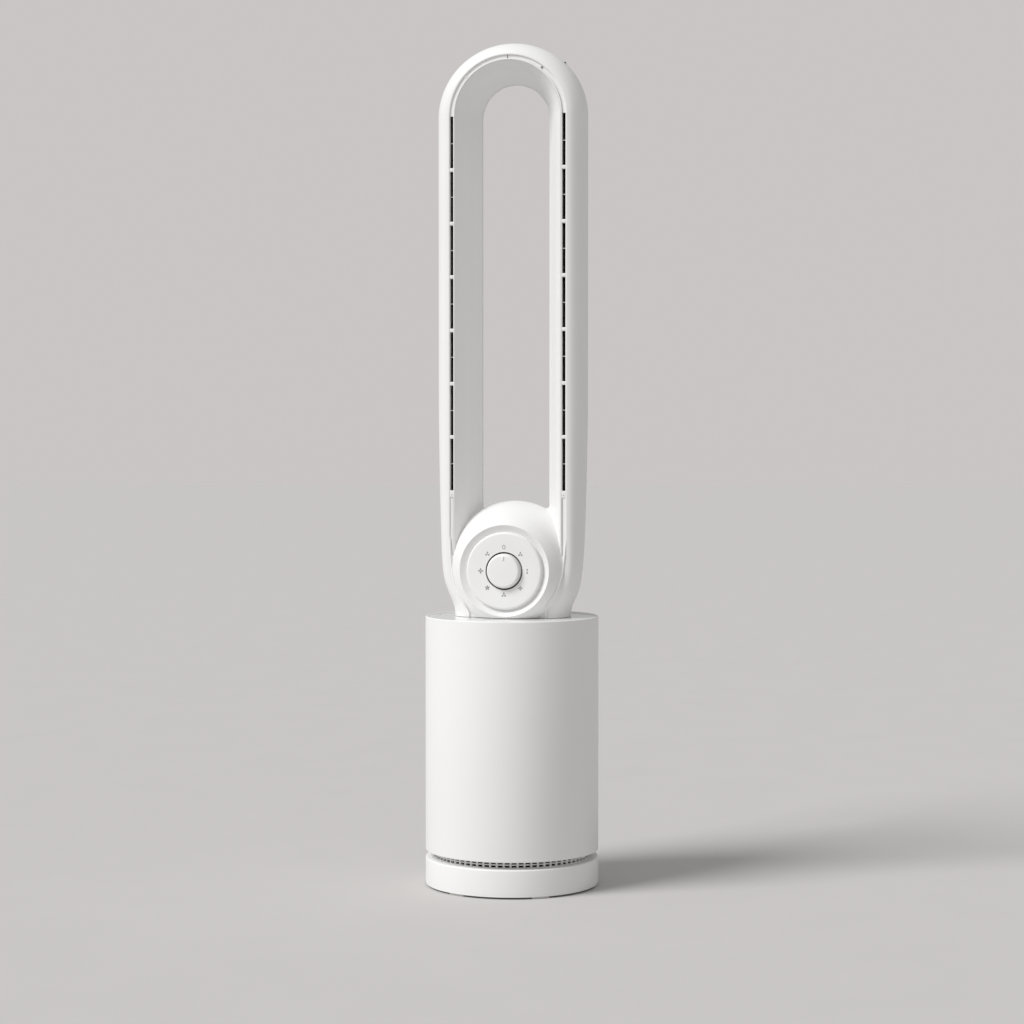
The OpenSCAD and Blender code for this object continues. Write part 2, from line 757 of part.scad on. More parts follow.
module slot_ribs() {
    rib_h = 1.2;
    color("white") both_sides() for (i = [0 : slot_segments - 1])
        translate([slot_in, -loop_front + 2, slot_z0 + (i + 0.5) * slot_pitch - rib_h / 2])
            cube([slot_out - slot_in, 4, rib_h]);
}

module groove_strip() {
    color("white") {
        over_top() translate([slot_in, -loop_front + groove_depth]) square([slot_out - slot_in,
            groove_floor_t]);
        both_sides() translate([slot_in, -loop_front + strip_in, groove_z0])
            cube([slot_out - slot_in, groove_depth - strip_in, slot_z0 - groove_z0 - 2]);
    }
}

module hub_rear_cover() {
    color("white") difference() {
        dial_cylinder(rear_cover_r, loop_back, loop_back + rear_cover_t);
        for (a = [45 : 90 : 315]) rear_place(a) cylinder(r = screw_r + 0.2, h = 20, center = true, $fn = 32);
    }
}

// A place on the rear cover's screw circle, with +Z along the screw
module rear_place(a) {
    translate([(rear_cover_r - 2) * cos(a) * 0.965, loop_back + rear_cover_t, hub_z + (rear_cover_r - 2)
        * sin(a) * 0.965])
        rotate([90, 0, 0]) children();
}

module rear_screws() {
    color([0.75, 0.75, 0.76]) for (a = [45 : 90 : 315]) rear_place(a) {
        translate([0, 0, -1.4]) cylinder(r = head_r, h = 1.4, $fn = 32);
        cylinder(r = screw_r, h = rear_cover_t, $fn = 32);
    }
}

// ---- dial ----

module above_plate() {
    intersection() {
        children();
        translate([-150, -150, neck_z0]) cube(300);
    }
}

module dial_bezel() {
    color("white") above_plate() about_dial() polygon([[drum_r, -drum_front], [drum_r - 1.6, -drum_front - 3],
        [bezel_rim_r + 3.6, -rim_front + 3.4], [bezel_rim_r, -rim_front], [groove_r, -bezel_groove_v],
        [bezel_in, -bezel_groove_v], [bezel_in, -bezel_groove_v + 2.4], [groove_r + 2, -bezel_groove_v + 2.4],
        [drum_r - 8, -drum_front]]);
}

module dial_face() {
    back_v = -bezel_groove_v + 2.4;
    color("white") about_dial() polygon([[well_r, -face_front], [face_r - 4.1, -face_front],
        [face_r - 1.2, -face_front + 1.2], [face_r, -face_front + 4], [face_r, back_v], [bezel_in + 1,
            back_v],
        [bezel_in + 1, back_v + 2], [bush_r + 0.2, back_v + 2], [bush_r + 0.2, back_v], [well_r, back_v]]);
}

// Generic marks: a zero at the top and small bars that grow round the dial
module dial_marks() {
    mark_t = 0.5;
    color([0.3, 0.3, 0.32]) for (i = [0 : mark_count - 1]) {
        a = 90 - i * 360 / mark_count;
        translate([mark_r * cos(a), -face_front, hub_z + mark_r * sin(a)]) rotate([90, 0, 0])
            linear_extrude(height = mark_t)
            if (i == 0) difference() {
                circle(r = 2.2, $fn = 32);
                circle(r = 1.5, $fn = 32);
            } else rotate(a) square([0.8 + 0.45 * i, 0.8], center = true);
    }
}

module switch_bracket() {
    color([0.75, 0.75, 0.75]) difference() {
        union() {
            above_plate() dial_cylinder(drum_r - 4, -bracket_v, -bracket_v + bracket_t);
            for (a = [90, 210, 330]) translate([50 * cos(a), 0, 50 * sin(a)])
                dial_cylinder(3.6, -bracket_v - 2, -bracket_v + bracket_t, 32);
        }
        dial_cylinder(bush_r + 0.1, -bracket_v - 5, -bracket_v + 5, 48);
        for (a = [90, 210, 330]) translate([50 * cos(a), 0, 50 * sin(a)])
            dial_cylinder(screw_r, -bracket_v - 5, -bracket_v + 5, 32);
    }
}

module bracket_screws() {
    color([0.7, 0.7, 0.72]) for (a = [90, 210, 330]) translate([50 * cos(a), 0, 50 * sin(a)]) {
        dial_cylinder(screw_r, -bracket_v - 2, -bracket_v + bracket_t, 32);
        dial_cylinder(head_r, -bracket_v + bracket_t, -bracket_v + bracket_t + 2, 32);
    }
}

module switch_body() {
    color([0.2, 0.2, 0.22]) difference() {
        union() {
            dial_cylinder(16, -bracket_v + bracket_t, -switch_back);
            dial_cylinder(bush_r, -bracket_v - 4.5, -bracket_v + bracket_t);
            translate([-3, -bracket_v + bracket_t + 4, hub_z - 21]) cube([6, 8, 6]);
        }
        dial_cylinder(stem_r + run_clear, -bracket_v - 6, -switch_back - 4, 48);
    }
}

module switch_nut() {
    color([0.75, 0.75, 0.78]) difference() {
        dial_cylinder(8, -bracket_v - nut_t, -bracket_v, 6);
        dial_cylinder(bush_r, -bracket_v - 5, -bracket_v + 1, 48);
    }
}

module switch_leads() {
    lead_y = -bracket_v + bracket_t + 8;
    color([0.2, 0.2, 0.22]) for (x = [-1.8, 1.8])
        translate([x, lead_y, spigot_z0 + 6]) cylinder(r = 1.2, h = hub_z - 21 - spigot_z0 - 6, $fn = 24);
}

module switch_shaft() {
    color([0.75, 0.75, 0.78]) dial_cylinder(stem_r, -face_front - knob_proud + 3, -switch_back - 6, 48);
}

module knob_cap() {
    front = -face_front - knob_proud;
    soft = 2;
    color("white") difference() {
        about_dial() polygon(concat([[0, front]],
            bez([knob_r - soft, front], [knob_r - soft * 0.45, front], [knob_r, front + soft * 0.45],
                [knob_r, front + soft], 5),
            [[knob_r, front + soft], [knob_r, -well_v - gap - 0.4], [0, -well_v - gap - 0.4]]));
        dial_cylinder(stem_r, front + 3, 0, 48);
    }
}

module knob_pointer() {
    front = -face_front - knob_proud;
    color([0.9, 0.9, 0.9]) translate([-0.9, front - 0.6, hub_z + knob_r - 7.4]) cube([1.8, 0.6, 4.6]);
}

foot_pads();
base_tray();
ballast_plate();
ballast_bolts();
intake_grille();
base_screws();
casing();
casing_foam();
cord_gland();
power_board();
board_standoffs();
wiring_loom();
inlet_bellmouth();
vibration_mounts();
duct_housing();
diffuser();
motor_can();
motor_stator();
motor_windings();
lower_bearing();
upper_bearing();
control_board();
outlet_cone();
duct_gasket();
top_plate();
plate_screws();
swivel_collar();
thrust_washer();
osc_motor();
osc_bracket();
impeller();
motor_shaft();
rotor_magnet();
impeller_nut();
osc_pinion();
neck_yoke();
swivel_gear();
retaining_ring();
loop_outer_shell();
loop_inner_shell();
loop_rear_shell();
slot_bridges();
slot_ribs();
groove_strip();
hub_rear_cover();
rear_screws();
dial_bezel();
dial_face();
dial_marks();
switch_bracket();
bracket_screws();
switch_body();
switch_nut();
switch_leads();
switch_shaft();
knob_cap();
knob_pointer();
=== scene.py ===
"""Bladeless tower fan: the CAD frame with its visible shells, dial and casing as smooth detailed pieces."""

import json
import math

import bmesh
import bpy
import numpy as np
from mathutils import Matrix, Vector


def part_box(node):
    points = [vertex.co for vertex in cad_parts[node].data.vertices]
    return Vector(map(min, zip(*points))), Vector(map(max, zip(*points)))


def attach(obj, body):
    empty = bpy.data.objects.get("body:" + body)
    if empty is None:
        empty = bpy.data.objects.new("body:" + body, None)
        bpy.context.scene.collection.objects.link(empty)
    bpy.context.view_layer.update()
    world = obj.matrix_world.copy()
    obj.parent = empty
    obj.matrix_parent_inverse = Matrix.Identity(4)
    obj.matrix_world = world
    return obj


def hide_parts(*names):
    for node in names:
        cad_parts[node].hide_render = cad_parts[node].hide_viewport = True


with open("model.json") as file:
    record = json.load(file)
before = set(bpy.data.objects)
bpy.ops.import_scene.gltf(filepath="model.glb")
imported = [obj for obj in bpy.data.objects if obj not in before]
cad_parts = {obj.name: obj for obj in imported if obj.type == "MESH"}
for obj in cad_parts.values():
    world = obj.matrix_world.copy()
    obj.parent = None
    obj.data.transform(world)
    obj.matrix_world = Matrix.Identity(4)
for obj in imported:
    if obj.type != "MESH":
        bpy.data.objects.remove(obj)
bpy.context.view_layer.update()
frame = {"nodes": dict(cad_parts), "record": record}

# ---- places and sizes in metres, read from the frame where it has them ----
casing_low, casing_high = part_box("casing")
tray_low, tray_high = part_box("base_tray")
plate_low, plate_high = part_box("top_plate")
grille_low, grille_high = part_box("intake_grille")
outer_low, outer_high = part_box("loop_outer_shell")
rear_low, rear_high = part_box("loop_rear_shell")
knob_low, knob_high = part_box("knob_cap")

MM = 0.001

# Casing and base
CASING_R = casing_high.x
CASING_T = 2.6 * MM
FLANGE_IN = CASING_R - 24 * MM
FLANGE_T = 3 * MM
WASHER_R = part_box("thrust_washer")[1].x

# Loop: u is the distance from the middle plane and v the depth, which grows to the rear
LOOP_W = outer_high.x
ARC_Z = outer_high.z - LOOP_W
CROWN_DROP = 3.0 * MM
FRONT = outer_low.y
BACK = rear_high.y
SEAM_V = rear_low.y
WIDEST_V = 5.7 * MM
SHELL_T = 2.0 * MM
THROAT = 39.9 * MM
THROAT_V = BACK - 15 * MM
CREASE_U = 53.2 * MM
CREASE_V = FRONT + 15.7 * MM

# Slot in the loop's front
SLOT_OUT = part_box("slot_bridges")[1].x
SLOT_IN = SLOT_OUT - 4.2 * MM
SLOT_MIDDLE = (SLOT_IN + SLOT_OUT) / 2
SLOT_Z0 = outer_low.z
SLOT_DEEP = FRONT + 9 * MM
SLOT_SEGMENTS = 7
LIP_OUT = 1.6 * MM
LIP_IN = 1.3 * MM
BRIDGE_H = 4.3 * MM
RIB_H = 0.9 * MM
STRIP_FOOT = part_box("groove_strip")[0].z

# Hub and dial
NECK_Z = plate_high.z + 0.35 * MM
HUB_Z = (knob_low.z + knob_high.z) / 2
SADDLE_R = 79.2 * MM
RIDGE_V = 14 * MM
RIM_R = 52.4 * MM
RIM_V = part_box("dial_bezel")[0].y
SPLIT_T = 0.24
FACE_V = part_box("dial_face")[0].y
KNOB_R = knob_high.x
MARK_R = 27.3 * MM

# Colours of the floor and of the wall behind it
FLOOR_COLOUR = (0.564, 0.548, 0.541)
WALL_COLOUR = (0.582, 0.560, 0.553, 1)


# ---- camera ----
def make_camera():
    azimuth = math.radians(13.5)
    distance = 2.657
    eye, target = 0.5036, 0.4308
    data = bpy.data.cameras.new("camera")
    data.sensor_width = 36
    data.lens = 80.86
    data.clip_start, data.clip_end = 0.05, 100
    cam = bpy.data.objects.new("camera", data)
    bpy.context.collection.objects.link(cam)
    cam.location = (distance * math.sin(azimuth), -distance * math.cos(azimuth), eye)
    look = Vector((0, 0, target)) - cam.location
    cam.rotation_euler = look.to_track_quat("-Z", "Y").to_euler()
    bpy.context.scene.camera = cam


make_camera()


# ---- materials ----
def add(tree, kind, **inputs):
    node = tree.nodes.new(kind)
    for key, value in inputs.items():
        if hasattr(node, key):
            setattr(node, key, value)
        else:
            node.inputs[key.replace("_", " ").title()].default_value = value
    return node


def finish_material(name, color, rough=0.4, spread=0.06, grain=900.0, bump=0.15, tint=0.02, metal=0.0,
                    coat=0.0, blotch=9.0, specular=0.5):
    """A moulded or turned finish: fine grain in the bump, slow change in roughness and a little in colour."""
    mat = bpy.data.materials.new(name)
    mat.use_nodes = True
    tree = mat.node_tree
    link = tree.links.new
    shader = tree.nodes["Principled BSDF"]
    shader.inputs["Metallic"].default_value = metal
    shader.inputs["Coat Weight"].default_value = coat
    shader.inputs["Coat Roughness"].default_value = 0.12
    shader.inputs["Specular IOR Level"].default_value = specular
    place = add(tree, "ShaderNodeTexCoord")
    slow = add(tree, "ShaderNodeTexNoise", scale=blotch, detail=3.0, roughness=0.5)
    fine = add(tree, "ShaderNodeTexNoise", scale=grain, detail=2.0, roughness=0.6)
    link(place.outputs["Object"], slow.inputs["Vector"])
    link(place.outputs["Object"], fine.inputs["Vector"])
    shade = tree.nodes.new("ShaderNodeMix")
    shade.data_type = "RGBA"
    dark = [c * (1 - tint) for c in color]
    light = [min(1.0, c * (1 + tint)) for c in color]
    shade.inputs["A"].default_value = (*dark, 1)
    shade.inputs["B"].default_value = (*light, 1)
    link(slow.outputs["Fac"], shade.inputs["Factor"])
    link(shade.outputs["Result"], shader.inputs["Base Color"])
    rough_map = tree.nodes.new("ShaderNodeMapRange")
    rough_map.inputs["To Min"].default_value = rough - spread
    rough_map.inputs["To Max"].default_value = rough + spread
    link(slow.outputs["Fac"], rough_map.inputs["Value"])
    link(rough_map.outputs["Result"], shader.inputs["Roughness"])
    relief = tree.nodes.new("ShaderNodeBump")
    relief.inputs["Strength"].default_value = bump
    relief.inputs["Distance"].default_value = 0.0001
    link(fine.outputs["Fac"], relief.inputs["Height"])
    link(relief.outputs["Normal"], shader.inputs["Normal"])
    return mat


MATERIALS = {
    "white_shell": finish_material("white_shell", (0.83, 0.83, 0.825), rough=0.42),
    "gloss_plate": finish_material("gloss_plate", (0.83, 0.83, 0.825), rough=0.16, spread=0.03, bump=0.03,
                                   coat=0.4),
    "grille_plastic": finish_material("grille_plastic", (0.76, 0.76, 0.755), rough=0.45),
    "dial_plastic": finish_material("dial_plastic", (0.84, 0.84, 0.835), rough=0.36),
    "pointer_plastic": finish_material("pointer_plastic", (0.93, 0.93, 0.93), rough=0.25),
    "mark_ink": finish_material("mark_ink", (0.3, 0.3, 0.31), rough=0.6),
    "inner_plastic": finish_material("inner_plastic", (0.7, 0.7, 0.69), rough=0.5),
    "impeller_plastic": finish_material("impeller_plastic", (0.72, 0.72, 0.7), rough=0.5, grain=400.0),
    "acetal": finish_material("acetal", (0.85, 0.85, 0.81), rough=0.35),
    "switch_plastic": finish_material("switch_plastic", (0.03, 0.03, 0.033), rough=0.5),
    "circuit_board": finish_material("circuit_board", (0.03, 0.17, 0.07), rough=0.35, grain=250.0, tint=0.1),
    "foam": finish_material("foam", (0.035, 0.035, 0.037), rough=0.95, spread=0.03, grain=500.0, bump=0.8),
    "foot_rubber": finish_material("foot_rubber", (0.82, 0.82, 0.8), rough=0.8, grain=300.0, bump=0.4),
    "black_rubber": finish_material("black_rubber", (0.03, 0.03, 0.032), rough=0.75, grain=300.0, bump=0.4),
    "black_cable": finish_material("black_cable", (0.03, 0.03, 0.032), rough=0.6),
    "ballast_iron": finish_material("ballast_iron", (0.1, 0.1, 0.105), rough=0.75, grain=200.0, bump=0.8,
                                    metal=0.8),
    "screw_steel": finish_material("screw_steel", (0.6, 0.6, 0.62), rough=0.3, metal=1.0),
    "bearing_steel": finish_material("bearing_steel", (0.62, 0.62, 0.64), rough=0.2, metal=1.0),
    "motor_steel": finish_material("motor_steel", (0.5, 0.5, 0.52), rough=0.35, metal=1.0),
    "bracket_steel": finish_material("bracket_steel", (0.55, 0.55, 0.57), rough=0.4, metal=1.0),
    "lamination_steel": finish_material("lamination_steel", (0.3, 0.3, 0.32), rough=0.5, metal=1.0,
                                        grain=1500.0, bump=0.5),
    "winding_copper": finish_material("winding_copper", (0.5, 0.22, 0.08), rough=0.35, metal=1.0,
                                      grain=1200.0, bump=0.7),
    "standoff_brass": finish_material("standoff_brass", (0.65, 0.48, 0.2), rough=0.3, metal=1.0),
    # Painted shade: near-black on the floor of the knob's well, for the dark gap round the knob.
    "well_painted_shade": finish_material("well_painted_shade", (0.05, 0.05, 0.05), rough=0.7, specular=0.1),
    # Painted shade: dark grey on the lines beside the closing strips, for the shadow in the groove; also the
    # colour of the small dark dots on the arc.
    "gap_shade_and_dot_grey": finish_material("gap_shade_and_dot_grey", (0.12, 0.12, 0.12), rough=0.8, specular=0.1),
    # Painted shade: near-black behind the slot and behind the intake holes, for the dark inside the loop and
    # the base.
    "painted_shade_black": finish_material("painted_shade_black", (0.006, 0.006, 0.006), rough=0.9, specular=0.1),
}

for part in frame["record"]["subparts"]:
    node = frame["nodes"][part["node"]]
    node.data.materials.clear()
    node.data.materials.append(MATERIALS[part["material_slot"]])


# ---- mesh helpers ----
def smooth_shading(mesh, sharp=32):
    """Smooth shading, with the edges that turn by more than sharp degrees kept crisp."""
    mesh.shade_smooth()
    mesh.set_sharp_from_angle(angle=math.radians(sharp))


def piece(name, verts, faces, body, slot, material=None, replaces=(), sharp=32):
    mesh = bpy.data.meshes.new(name)
    mesh.from_pydata([tuple(v) for v in verts], [], faces)
    work = bmesh.new()
    work.from_mesh(mesh)
    bmesh.ops.remove_doubles(work, verts=work.verts, dist=1e-7)
    bmesh.ops.recalc_face_normals(work, faces=work.faces)
    work.to_mesh(mesh)
    work.free()
    obj = bpy.data.objects.new(name, mesh)
    bpy.context.collection.objects.link(obj)
    mesh.materials.append(MATERIALS[material or slot])
    smooth_shading(mesh, sharp)
    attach(obj, body)
    if replaces:
        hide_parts(*replaces)
    return obj


def bezier_at(corners, t):
    """The point at t, from 0 to 1, on the cubic curve with four control points."""
    a, b, c, d = (np.array(p, float) for p in corners)
    s = 1 - t
    return s**3 * a + 3 * s * s * t * b + 3 * s * t * t * c + t**3 * d


def bezier(a, b, c, d, count):
    """Points at count equal steps along a cubic curve, without its end."""
    return [bezier_at((a, b, c, d), i / count) for i in range(count)]


def rounded(points, radii, steps=5, closed=True):
    """The outline with each corner rounded to its radius by an arc-like curve."""
    out = []
    count = len(points)
    pts = [np.array(p, float) for p in points]
    for i, (p, r) in enumerate(zip(pts, radii)):
        if r == 0 or (not closed and i in (0, count - 1)):
            out.append(p)
            continue
        before, after = pts[i - 1] - p, pts[(i + 1) % count] - p
        la, lb = np.linalg.norm(before), np.linalg.norm(after)
        cos = np.clip(before @ after / la / lb, -1, 1)
        cut = min(r / math.tan(math.acos(cos) / 2 + 1e-9), 0.49 * la, 0.49 * lb)
        start, end = p + before / la * cut, p + after / lb * cut
        k = 0.55
        out += bezier(start, start + (p - start) * k, end + (p - end) * k, end, steps)
        out.append(end)
    return out


def revolve(profile, segments=160, about="z", centre=(0, 0, 0)):
    """A closed outline of (radius, height) turned about the axis; points on the axis are shared."""
    verts, faces, ids = [], [], []
    for r, h in profile:
        row = []
        for s in range(segments):
            if r < 1e-7 and row:
                row.append(row[0])
                continue
            a = 2 * math.pi * s / segments
            x, y = r * math.cos(a), r * math.sin(a)
            p = (x, y, h) if about == "z" else (x, h, y)
            row.append(len(verts))
            verts.append(Vector(p) + Vector(centre))
        ids.append(row)
    for i, row in enumerate(ids):
        after = ids[(i + 1) % len(ids)]
        for s in range(segments):
            t = (s + 1) % segments
            loop = list(dict.fromkeys([row[s], row[t], after[t], after[s]]))
            if len(loop) > 2:
                faces.append(loop)
    return verts, faces


def cut_below(obj, height):
    """Removes what lies below a level and closes the flat bottom."""
    work = bmesh.new()
    work.from_mesh(obj.data)
    geometry = work.verts[:] + work.edges[:] + work.faces[:]
    cut = bmesh.ops.bisect_plane(work, geom=geometry, plane_co=(0, 0, height), plane_no=(0, 0, -1),
                                 clear_outer=True)
    edges = [e for e in cut["geom_cut"] if isinstance(e, bmesh.types.BMEdge)]
    bmesh.ops.holes_fill(work, edges=edges, sides=0)
    bmesh.ops.recalc_face_normals(work, faces=work.faces)
    work.to_mesh(obj.data)
    work.free()
    smooth_shading(obj.data)


def loft_faces(rows, count):
    """Faces that join rings of count points, one ring after the other, with both ends closed."""
    faces = []
    for r in range(rows - 1):
        for i in range(count):
            j = (i + 1) % count
            faces.append([r * count + i, r * count + j, (r + 1) * count + j, (r + 1) * count + i])
    faces.append(list(range(count - 1, -1, -1)))
    faces.append([(rows - 1) * count + i for i in range(count)])
    return faces


def tube_of(stations, section_at):
    """A closed section carried along stations: each gives a placing function and a height."""
    verts = []
    for place, z in stations:
        verts += [place(u, v) for u, v in section_at(z)]
    return verts, loft_faces(len(stations), len(verts) // len(stations))


def box_mesh(low, high, soften=0.0003, steps=3):
    """A box whose edges are rounded."""
    work = bmesh.new()
    bmesh.ops.create_cube(work, size=1)
    size = Vector(high) - Vector(low)
    middle = (Vector(high) + Vector(low)) / 2
    for v in work.verts:
        v.co = Vector((v.co.x * size.x, v.co.y * size.y, v.co.z * size.z)) + middle
    bmesh.ops.bevel(work, geom=work.edges[:], offset=soften, segments=steps, affect="EDGES", profile=0.5)
    verts = [v.co.copy() for v in work.verts]
    work.verts.index_update()
    faces = [[v.index for v in f.verts] for f in work.faces]
    work.free()
    return verts, faces


def joined(parts):
    verts, faces = [], []
    for v, f in parts:
        base = len(verts)
        verts += list(v)
        faces += [[base + i for i in face] for face in f]
    return verts, faces


# ---- loop ----
# Height in metres above the neck's foot, then the half width of the housing and the distance of the
# front strip's outer edge from the middle, in millimetres
LOWER_OUTLINE = [
    (0.230, 87.7, 69.6),
    (0.151, 86.2, 69.6),
    (0.099, 84.5, 69.6),
    (0.064, 82.6, 69.5),
    (0.044, 79.9, 67.6),
    (0.029, 75.6, 62.0),
    (0.016, 70.6, 54.0),
    (0.008, 68.6, 50.0),
    (0.0, 68.2, 48.5),
]


def smooth_value(z, column):
    """Catmull-Rom value of a column of LOWER_OUTLINE at height z."""
    rows = LOWER_OUTLINE[::-1]
    h = z - NECK_Z
    if h >= rows[-1][0]:
        return rows[-1][column] * MM
    if h <= rows[0][0]:
        return rows[0][column] * MM
    i = max(k for k in range(len(rows)) if rows[k][0] <= h)
    p0, p1, p2, p3 = (rows[min(max(k, 0), len(rows) - 1)] for k in (i - 1, i, i + 1, i + 2))
    step = p2[0] - p1[0]
    t = (h - p1[0]) / step
    m1 = (p2[column] - p0[column]) / (p2[0] - p0[0]) * step
    m2 = (p3[column] - p1[column]) / (p3[0] - p1[0]) * step
    value = ((2 * t**3 - 3 * t**2 + 1) * p1[column] + (t**3 - 2 * t**2 + t) * m1
             + (-2 * t**3 + 3 * t**2) * p2[column] + (t**3 - t**2) * m2)
    return value * MM


def section_sizes(z):
    """At a height: the housing's half width, the front strip's outer edge, and how far the slot leans in."""
    wide = smooth_value(z, 1)
    strip = smooth_value(z, 2)
    return wide, strip, SLOT_OUT + LIP_OUT - strip


def with_wall(curve, thickness):
    """A closed outline: the curve, then the same curve moved inwards by the wall."""
    pts = [np.array(p, float) for p in curve]
    inner = []
    for i, p in enumerate(pts):
        d = pts[min(i + 1, len(pts) - 1)] - pts[max(i - 1, 0)]
        d = d / np.linalg.norm(d)
        inner.append(p + np.array([-d[1], d[0]]) * thickness)
    return pts + inner[::-1]


def outer_curve(z):
    wide, strip, lean = section_sizes(z)
    slot = SLOT_OUT - lean
    turn = (strip + 2.4 * MM, FRONT + 0.75 * MM)
    widest = (wide, WIDEST_V)
    lips = rounded([(slot, SLOT_DEEP), (slot, FRONT), (strip, FRONT), turn],
                   (0, 0.5 * MM, 1.3 * MM, 0), steps=4, closed=False)
    side = bezier(turn, (strip + 9 * MM, FRONT + 3 * MM), (wide, WIDEST_V - 16 * MM), widest, 18)
    back = bezier(widest, (wide, WIDEST_V + 5 * MM), (wide - 1.0 * MM, SEAM_V - 5 * MM),
                  (wide - 2.7 * MM, SEAM_V - 0.4 * MM), 6)
    seam = [(wide - 2.8 * MM, SEAM_V - 0.15 * MM), (wide - 3.4 * MM, SEAM_V - 0.1 * MM)]
    return lips[:-1] + side + back + seam


def rear_curve(z):
    wide, _, lean = section_sizes(z)
    throat = THROAT - lean
    top = (throat + wide) / 2
    seam = [(wide - 3.4 * MM, SEAM_V + 0.1 * MM), (wide - 3.0 * MM, SEAM_V + 0.15 * MM)]
    side = bezier((wide - 3.0 * MM, SEAM_V + 0.5 * MM), (wide - 5.5 * MM, SEAM_V + 9 * MM),
                  (top + 15 * MM, BACK), (top, BACK), 14)
    inside = bezier((top, BACK), (top - 11 * MM, BACK), (throat + 3 * MM, BACK - 6 * MM),
                    (throat, THROAT_V), 14)
    return seam + side + inside + [(throat, THROAT_V), (throat + 0.5 * MM, BACK - 15.4 * MM)]


def inner_curve(z):
    lean = section_sizes(z)[2]
    throat = THROAT - lean
    slot = SLOT_IN - lean
    corners = [(throat + 0.9 * MM, BACK - 15.6 * MM), (throat - 0.4 * MM, BACK - 15.9 * MM),
               (throat - 0.3 * MM, BACK - 17.1 * MM), (throat + 0.6 * MM, BACK - 17.5 * MM),
               (CREASE_U - lean, CREASE_V), (slot - LIP_IN, FRONT), (slot, FRONT), (slot, SLOT_DEEP)]
    radii = [r * MM for r in (0, 0.3, 0.3, 0.2, 1.5, 0.7, 0.4, 0)]
    return rounded(corners, radii, steps=5, closed=False)


def arc_point(radius, v, angle):
    """A place on the top arc."""
    return Vector((radius * math.cos(angle), v, ARC_Z + radius * math.sin(angle)))


def on_arm(side, z):
    """Places a section on the right arm (side 1) or, mirrored, on the left arm (side -1)."""
    return lambda u, v: Vector((side * u, v, z))


def on_arc(angle):
    """Places a section on the top arc. The outside is a little flatter at the crown than a true circle."""
    def place(u, v):
        outside = max(0.0, (u - SLOT_OUT) / (LOOP_W - SLOT_OUT))
        return arc_point(u - CROWN_DROP * outside * math.sin(angle) ** 2, v, angle)
    return place


def loop_stations(curved_steps=44, arc_steps=72):
    """Places along the loop from the foot of the right arm, over the top, to the foot of the left arm."""
    reach = SLOT_Z0 + 0.09 - NECK_Z
    curved = [NECK_Z + reach * i / curved_steps for i in range(curved_steps + 1)]
    heights = curved + [0.62, 0.76, ARC_Z]
    right = [(on_arm(1, z), z) for z in heights]
    arc = [(on_arc(math.pi * i / arc_steps), ARC_Z) for i in range(1, arc_steps)]
    left = [(on_arm(-1, z), z) for z in heights[::-1]]
    return right + arc + left


def make_loop():
    stations = loop_stations()
    curves = {"outer_shell": outer_curve, "inner_shell": inner_curve, "rear_shell": rear_curve}
    for name, curve in curves.items():
        verts, faces = tube_of(stations, lambda z, c=curve: with_wall(c(z), SHELL_T))
        piece("shell_" + name, verts, faces, "head", "white_shell", replaces=["loop_" + name], sharp=40)


def strip_section(depth, out=0.0, thick=1.6 * MM):
    """A strip between the slot's lips, set back by depth and wider than the slot by out on each side."""
    def section(z):
        lean = section_sizes(z)[2]
        a, b = SLOT_IN - lean - out, SLOT_OUT - lean + out
        y = FRONT + depth
        return [(a, y), (b, y), (b, y + thick), (a, y + thick)]
    return section


def arm_stations(z0, z1, steps, side):
    heights = [z0 + (z1 - z0) * i / steps for i in range(steps + 1)]
    return [(on_arm(side, z), z) for z in heights]


def top_stations(steps=72):
    angles = [math.pi * i / steps for i in range(steps + 1)]
    return [(lambda u, v, a=angle: arc_point(u, v, a), ARC_Z) for angle in angles]


def side_box(side, low, high, soften):
    """A box with rounded edges on the right arm (side 1) or, mirrored, on the left arm (side -1)."""
    verts, faces = box_mesh(low, high, soften)
    return [Vector((side * v.x, v.y, v.z)) for v in verts], faces


